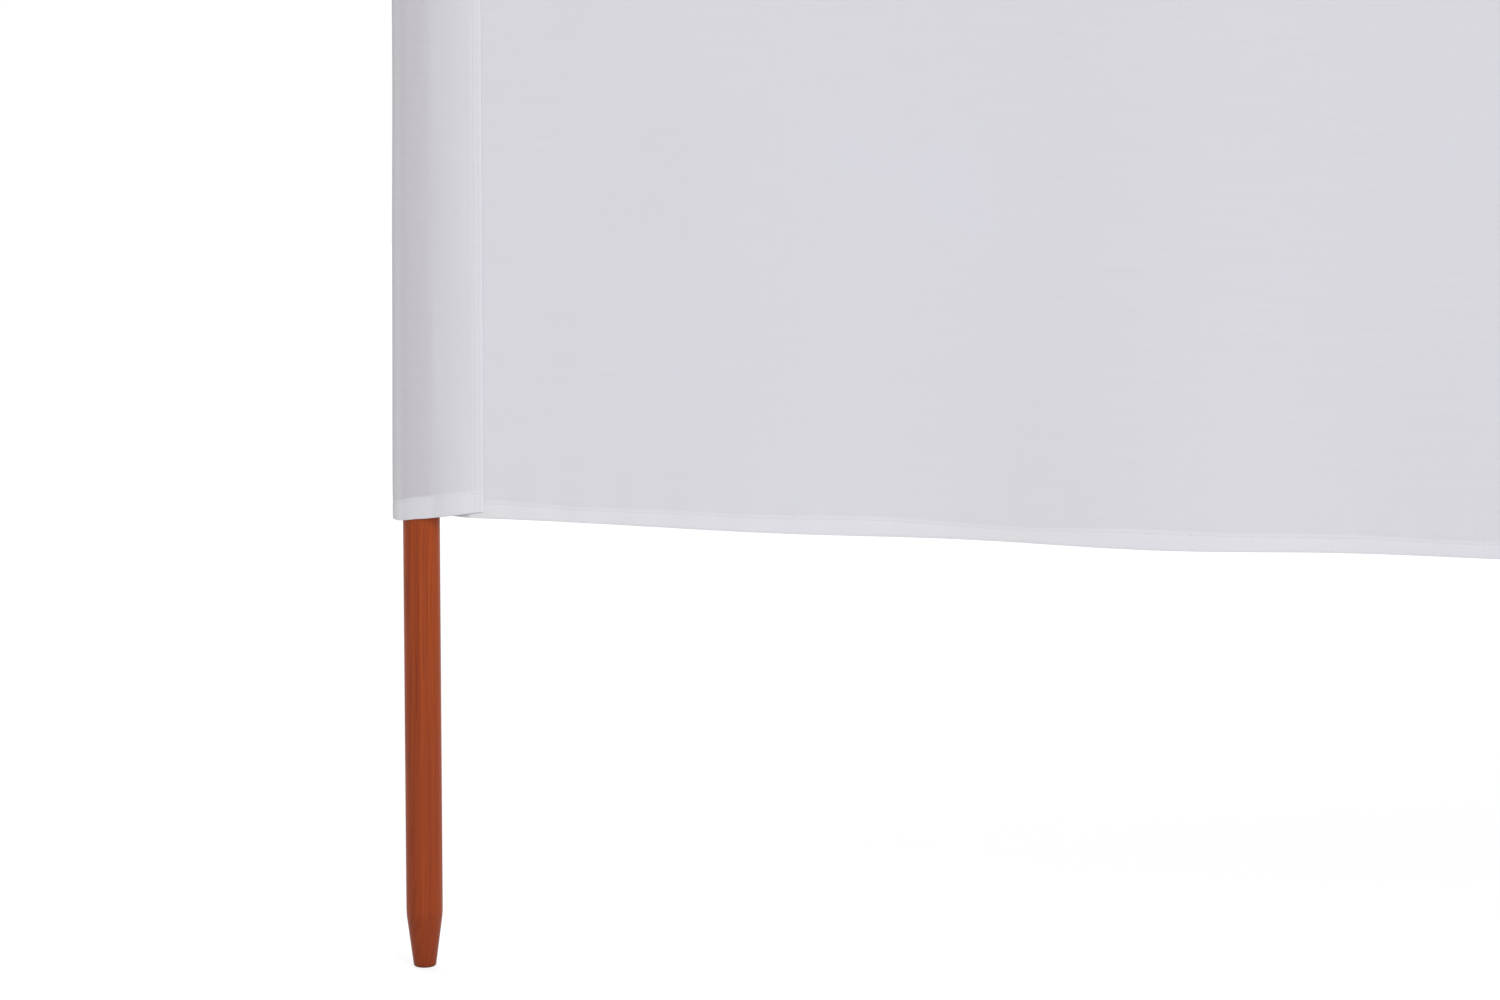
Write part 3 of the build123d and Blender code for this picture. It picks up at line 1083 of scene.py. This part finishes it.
EDGE_SHADE_SHARE = 0.2  # of the hollow's painted shade, laid along a turned edge
HEM_HOLLOW_SHARE = 0.92  # of the hollow's painted shade that the front layer's hem keeps
HEM_POLE_LOSS_SHARE = 0.27  # of the hollow's painted shade that this hem loses over the pole
HEM_COVER_SHARE = 0.85  # of the pole's tone that a hem hides
SEAM_LAYERS_SHARE = 0.55  # how layered a seam looks, of a hem


class SleeveStrip:
    """Places of one strip of a sleeve's cloth, on rows from mouth to mouth and columns round its plan."""

    rows = 70

    def __init__(self, index, arms, plan, turned_edges, scene):
        cloth = scene.windbreak_cloth
        self.rows_up = HemmedRows(cloth, scene.windbreak_stitching, MOUTH_HEM_HEIGHT, self.rows)
        spans = np.linalg.norm(np.diff(plan, axis=0), axis=1)
        samples = np.where(spans < SHORT_SPAN, SHORT_SPAN_STEPS, SPAN_STEPS)
        samples[spans < 2 * END_STEP] = 1
        self.line = smooth_line(plan, samples)
        hidden_at_start, hidden_at_end = turned_edges
        under = TURNED_UNDER_SPANS
        first = samples[:under].sum() if hidden_at_start else 0
        last = samples[:-under].sum() if hidden_at_end else len(self.line)
        self.outside = slice(first, last)
        self.axis = arms[-1].along
        self.across = self.line @ self.axis
        self.reach = np.abs(self.across)
        self.seam = max(arm.reach for arm in arms)
        self.edge = max(arm.edge for arm in arms)
        self.fold = POLE_RADIUS + cloth.fold_slack
        out = plan_normals(self.line)
        self.out = out * np.sign((out * self.line).sum())
        self.loose_fold = len(arms) == 1
        self.on_front = any(turned_edges)
        self.places = np.concatenate((self.plan_places(index, cloth), self.heights(index, arms)), axis=-1)

    def dents(self, index):
        """Shallow dents between the pole and the seams, as distances outwards."""
        strength = blend_about(POLE_RADIUS, DENT_START_SPAN, self.reach)
        strength = strength * (1 - blend_about(self.seam, DENT_END_SPAN, self.reach))
        if self.loose_fold:
            strength = np.where(self.across < 0, FOLD_DENT_SHARE * strength, strength)
        phase = DENT_PHASE * index + DENT_SIDE_PHASE * np.sign(self.across)
        return DENT_DEPTH * strength * np.sin(turns(self.rows_up.heights[:, None], DENT_LENGTH) + phase)

    def plan_places(self, index, cloth):
        """X and Y of every point: the plan line with its hems, dents and drawn-in fold, clear of the pole."""
        pressed = HEM_PRESS_SHARE * blend_about(self.seam, HEM_PRESS_SPAN, self.reach)
        lifts = self.rows_up.lifts[:, None] * (1 - pressed)
        places = self.line + (lifts + self.dents(index))[..., None] * self.out
        if self.loose_fold:
            up = smoothstep(0.0, FLARE_HEIGHT, self.rows_up.heights[:, None] - CLOTH_LOW)
            drawn_in = FLARE_SHARE * up * (self.across < 0)
            places = places - (drawn_in * self.across)[..., None] * self.axis
        flat = np.linalg.norm(places, axis=-1)
        least = POLE_RADIUS + LEAST_GAP + cloth.thickness / 2
        return POLES[index] + places * (np.maximum(flat, least) / flat)[..., None]

    def front_share(self, arm):
        """1 on the front layer and 0 on the back layer, with a smooth change round a loose fold."""
        if not self.loose_fold:
            return float(self.on_front)
        back, front = (place * POLE_RADIUS for place in FOLD_FRONT_SHARES)
        past_fold = np.arange(len(self.across)) > self.across.argmin()
        return np.where(self.across < 0, smoothstep(back, front, self.line @ arm.front), past_fold)

    def heights(self, index, arms):
        """Z of every point: the front layer's lower mouth is cut and hemmed a little askew."""
        z = self.rows_up.heights[:, None]
        above = np.maximum(z - CLOTH_LOW, 0.0)
        fade = np.exp(-above / TILT_FADE)
        front = self.front_share(arms[0])
        reach = np.where(self.across < 0, -self.across.min(), self.across.max())
        reached = self.across / reach
        tilt = np.interp(reached, *smooth_line(MOUTH_TILT, MOUTH_TILT_STEPS).T) * fade
        wedge = np.interp(reached, *np.array(HEM_WEDGE).T) * near_hem(above, MOUTH_HEM_HEIGHT)
        askew = 1.0 if self.loose_fold else MIDDLE_ASKEW_SHARE * (-1) ** index
        droop = (1 - front) * CORNER_DROOP * smoothstep(0.0, 1.0, np.abs(reached)) * fade
        return (z + askew * MM * front * (tilt + wedge) - droop)[..., None]

    def painted_shade_mask(self):
        """How much painted shade of the sleeve's hollow darkens the cloth: most on the pole, least at the
        seam.
        """
        past_pole = (self.reach - POLE_RADIUS) / (self.seam - POLE_RADIUS)
        hollow = np.clip(1 - HOLLOW_LOSS_SHARE * past_pole, 0.0, 1.0)
        hollow = hollow * (1 - blend_about(self.seam, TAB_SPAN, self.reach))
        # On the loose fold the painted shade eases beside the pole and deepens again at the fold's rim.
        if self.loose_fold:
            lighter = BESIDE_POLE_SHARE * blend_about(POLE_RADIUS, BESIDE_POLE_SPAN, self.reach)
            rim = RIM_SHARE * smoothstep(POLE_RADIUS + RIM_START, self.fold + RIM_END, self.reach)
            hollow = np.where(self.across < 0, 1 - lighter + rim, hollow)
        return np.maximum(hollow, EDGE_SHADE_SHARE * blend_about(self.edge, EDGE_SHADE_SPAN, self.reach))

    def masks(self, arm):
        """How many layers there are at each point, how much of the pole lies behind, and how much painted
        shade the hollow casts.
        """
        hems = self.rows_up.hem_mask()[:, None]
        backed = 1 - blend_about(POLE_RADIUS, BACKED_SPAN, self.reach)
        sewn = blend_about(self.seam, SEWN_SPAN, self.reach)
        # Hems on the front layer keep most of the hollow's painted shade; the back layer's hems lose it.
        kept = self.front_share(arm) * (HEM_HOLLOW_SHARE - HEM_POLE_LOSS_SHARE * backed)
        return {
            "layers": np.maximum(hems, SEAM_LAYERS_SHARE * sewn),
            "pole_behind": backed * (1 - HEM_COVER_SHARE * hems),
            "painted_hollow_shade": self.painted_shade_mask() * (1 - hems * (1 - kept)),
        }

    def stitches(self, cloth):
        """Lines of stitching round the two mouths, on the outside."""
        proud = np.pad(self.out, ((0, 0), (0, 1))) * cloth.thickness / 2
        rows = self.rows_up.front_stitches
        return [(self.places[row] + proud)[self.outside] for row in rows]


class WINDBREAK_OT_sew_sleeves(bpy.types.Operator):
    """Sew a sleeve of cloth round every pole"""

    bl_idname = "windbreak.sew_sleeves"
    bl_label = "Sew Sleeves"

    def execute(self, context):
        cloth = context.scene.windbreak_cloth
        for index in range(POLE_COUNT):
            arms, plans = sleeve_strips(index, cloth)
            for name, (plan, turned_edges) in plans.items():
                strip = SleeveStrip(index, arms, plan, turned_edges, context.scene)
                around = run_length(strip.line)
                masks = strip.masks(arms[0])
                piece = sheet_piece(f"{name}_{index + 1}", strip, around, masks, cloth.thickness)
                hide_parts(f"sleeve_{index + 1}")
        return {"FINISHED"}


# Stitching


def seam_stitches(index, arms, scene):
    """Two rows of stitching up every seam of a sleeve, on the front and on the back."""
    cloth = scene.windbreak_cloth
    margin = scene.windbreak_stitching.margin
    heights = (CLOTH_LOW + MOUTH_HEM_HEIGHT / 2, CLOTH_HIGH - MOUTH_HEM_HEIGHT / 2)
    front = LAYER_GAP + 2 * cloth.fold_radius + cloth.thickness / 2
    back = -cloth.thickness / 2
    lines = []
    for arm in arms:
        for along in (arm.reach + margin, arm.edge - margin):
            for out in (front, back):
                place = POLES[index] + arm.point(along, out)
                lines.append([(*place, height) for height in heights])
    return lines


def stitch_group(settings):
    """Geometry nodes that sew a running stitch along every line of a mesh."""
    tree = bpy.data.node_groups.new("running stitch", "GeometryNodeTree")
    for end in ("INPUT", "OUTPUT"):
        tree.interface.new_socket("Geometry", in_out=end, socket_type="NodeSocketGeometry")
    lines = tree.nodes.new("NodeGroupInput").outputs[0]
    curve = node(tree, "GeometryNodeMeshToCurve", {"Mesh": lines}).outputs[0]
    feed = {"Curve": curve, "Length": settings.stitch + settings.gap}
    spots = node(tree, "GeometryNodeResampleCurve", feed, mode="LENGTH").outputs[0]
    ball = node(tree, "GeometryNodeMeshIcoSphere", {"Radius": 0.5, "Subdivisions": 1}).outputs[0]
    size = (settings.thread, settings.thread, settings.stitch)
    bead = node(tree, "GeometryNodeTransform", {"Geometry": ball, "Scale": size}).outputs[0]
    tangent = node(tree, "GeometryNodeInputTangent").outputs[0]
    turn = node(tree, "FunctionNodeAlignRotationToVector", {"Vector": tangent}, axis="Z").outputs[0]
    feed = {"Points": spots, "Instance": bead, "Rotation": turn}
    beads = node(tree, "GeometryNodeInstanceOnPoints", feed).outputs[0]
    real = node(tree, "GeometryNodeRealizeInstances", {"Geometry": beads}).outputs[0]
    smooth = node(tree, "GeometryNodeSetShadeSmooth", {"Geometry": real}).outputs[0]
    thread = {"Geometry": smooth, "Material": bpy.data.materials["sewing thread"]}
    sewn = node(tree, "GeometryNodeSetMaterial", thread).outputs[0]
    tree.links.new(sewn, tree.nodes.new("NodeGroupOutput").inputs[0])
    return tree


def stitch_piece(name, lines, group):
    """Piece of running stitches along lines of points."""
    bm = bmesh.new()
    for line in lines:
        spots = [bm.verts.new(point) for point in line]
        for first, second in zip(spots, spots[1:]):
            bm.edges.new((first, second))
    mesh = finish_mesh(bm, name)
    piece = finish_piece(name, mesh, bpy.data.materials["sewing thread"])
    piece.modifiers.new("running stitch", "NODES").node_group = group


class WINDBREAK_OT_sew_stitches(bpy.types.Operator):
    """Sew the stitches along the hems, the sleeves' mouths and the seams"""

    bl_idname = "windbreak.sew_stitches"
    bl_label = "Sew Stitches"

    def execute(self, context):
        scene = context.scene
        cloth = scene.windbreak_cloth
        group = stitch_group(scene.windbreak_stitching)
        for bay in BAYS:
            lines = BaySheet(bay, scene).stitches(bay, cloth)
            stitch_piece(f"hem_stitches_{bay.index + 1}", lines, group)
        for index in range(POLE_COUNT):
            arms, plans = sleeve_strips(index, cloth)
            lines = seam_stitches(index, arms, scene)
            for plan, turned_edges in plans.values():
                lines += SleeveStrip(index, arms, plan, turned_edges, scene).stitches(cloth)
            stitch_piece(f"sleeve_stitches_{index + 1}", lines, group)
        return {"FINISHED"}


# Stage

WHITE = (1.0, 1.0, 1.0, 1.0)
FLOOR_SIZE = 60.0
FLOOR_COLOUR = (0.8, 0.8, 0.8, 1.0)  # in the light that it throws back
SEEN_FLOOR_COLOUR = (0.38, 0.38, 0.38, 1.0)  # to the camera, which sees it white under its glow
FLOOR_GLOW = 0.67
KEY_DIRECTION = (30.0, 32.0, 50.0)  # azimuth from the front to the right, elevation and spread in degrees
FILL_DIRECTION = (205.0, 35.0, 60.0)
SENSOR_WIDTH = 36.0  # millimetres


def white_to_camera(tree):
    """1 for what the camera sees straight, in a reflection or through glass."""
    rays = node(tree, "ShaderNodeLightPath").outputs
    seen = sums(tree, "MAXIMUM", rays["Is Camera Ray"], rays["Is Glossy Ray"])
    return sums(tree, "MAXIMUM", seen, rays["Is Transmission Ray"])


def floor_material():
    """Pale floor that looks white to the camera and keeps soft shadows."""
    material, tree, shader = new_material("pale floor")
    looks = {"Base Color": FLOOR_COLOUR, "Roughness": 1.0, "Specular IOR Level": 0.0}
    set_inputs(tree, shader, looks)
    matt = node(tree, "ShaderNodeBsdfDiffuse", {"Color": SEEN_FLOOR_COLOUR}).outputs[0]
    glow = node(tree, "ShaderNodeEmission", {"Strength": FLOOR_GLOW}).outputs[0]
    seen = node(tree, "ShaderNodeAddShader", {0: matt, 1: glow}).outputs[0]
    feed = {0: white_to_camera(tree), 1: shader.outputs[0], 2: seen}
    mix = node(tree, "ShaderNodeMixShader", feed).outputs[0]
    set_inputs(tree, tree.nodes["Material Output"], {"Surface": mix})
    return material


class WINDBREAK_OT_set_stage(bpy.types.Operator):
    """Set up the floor, the soft light and the camera"""

    bl_idname = "windbreak.set_stage"
    bl_label = "Set Stage"

    def make_floor(self):
        """Plain floor under the poles' tips."""
        mesh = grid_mesh("floor", 2, 2, FLOOR_SIZE / 2)
        mesh.materials.append(floor_material())
        floor = add_object("floor", mesh)

    def make_sun(self, name, strength, azimuth, elevation, spread):
        """Soft light from a direction."""
        lamp = bpy.data.lights.new(name, "SUN")
        lamp.energy = strength
        lamp.angle = math.radians(spread)
        sun = add_object(name, lamp)
        sun.rotation_euler = (math.pi / 2 - math.radians(elevation), 0.0, math.radians(azimuth))

    def make_world(self, strength):
        """Even light from all round, which the camera sees as white."""
        world = bpy.data.worlds.new("studio")
        world.use_nodes = True
        tree = world.node_tree
        tree.nodes.clear()
        plain = node(tree, "ShaderNodeBackground", {"Color": WHITE, "Strength": strength}).outputs[0]
        white = node(tree, "ShaderNodeBackground", {"Color": WHITE, "Strength": 1.0}).outputs[0]
        mix = node(tree, "ShaderNodeMixShader", {0: white_to_camera(tree), 1: plain, 2: white})
        node(tree, "ShaderNodeOutputWorld", {"Surface": mix.outputs[0]})
        bpy.context.scene.world = world

    def make_camera(self, stage):
        """Camera at the photograph's viewing angle."""
        data = bpy.data.cameras.new("camera")
        data.sensor_width = SENSOR_WIDTH
        data.lens = stage.lens
        camera = add_object("camera", data)
        camera.location = (stage.camera_x, stage.camera_y, stage.camera_z)
        camera.rotation_euler = (math.pi / 2 - stage.camera_pitch, stage.camera_roll, stage.camera_yaw)
        bpy.context.scene.camera = camera

    def execute(self, context):
        stage = context.scene.windbreak_stage
        self.make_floor()
        self.make_world(stage.ambient)
        self.make_sun("key", stage.key, *KEY_DIRECTION)
        self.make_sun("fill", stage.fill, *FILL_DIRECTION)
        self.make_camera(stage)
        context.scene.view_settings.view_transform = "Standard"
        return {"FINISHED"}


# Add-on

OPERATORS = (
    WINDBREAK_OT_weave_cloth,
    WINDBREAK_OT_stain_poles,
    WINDBREAK_OT_hang_bays,
    WINDBREAK_OT_sew_sleeves,
    WINDBREAK_OT_sew_stitches,
    WINDBREAK_OT_set_stage,
)


class WINDBREAK_PT_pieces(bpy.types.Panel):
    """Lists the steps that dress the windbreak"""

    bl_label = "Windbreak"
    bl_space_type = "VIEW_3D"
    bl_region_type = "UI"
    bl_category = "Windbreak"

    def draw(self, context):
        for operator in OPERATORS:
            self.layout.operator(operator.bl_idname)


CLASSES = (*SETTINGS.values(), *OPERATORS, WINDBREAK_PT_pieces)


def register():
    for item in CLASSES:
        bpy.utils.register_class(item)
    for name, group in SETTINGS.items():
        setattr(bpy.types.Scene, name, bpy.props.PointerProperty(type=group))


def unregister():
    for name in SETTINGS:
        delattr(bpy.types.Scene, name)
    for item in reversed(CLASSES):
        bpy.utils.unregister_class(item)


def main():
    """Dresses the windbreak."""
    register()
    bpy.ops.windbreak.weave_cloth()
    bpy.ops.windbreak.stain_poles()
    bpy.ops.windbreak.hang_bays()
    bpy.ops.windbreak.sew_sleeves()
    bpy.ops.windbreak.sew_stitches()
    bpy.ops.windbreak.set_stage()
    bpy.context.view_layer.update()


if __name__ == "__main__":
    main()
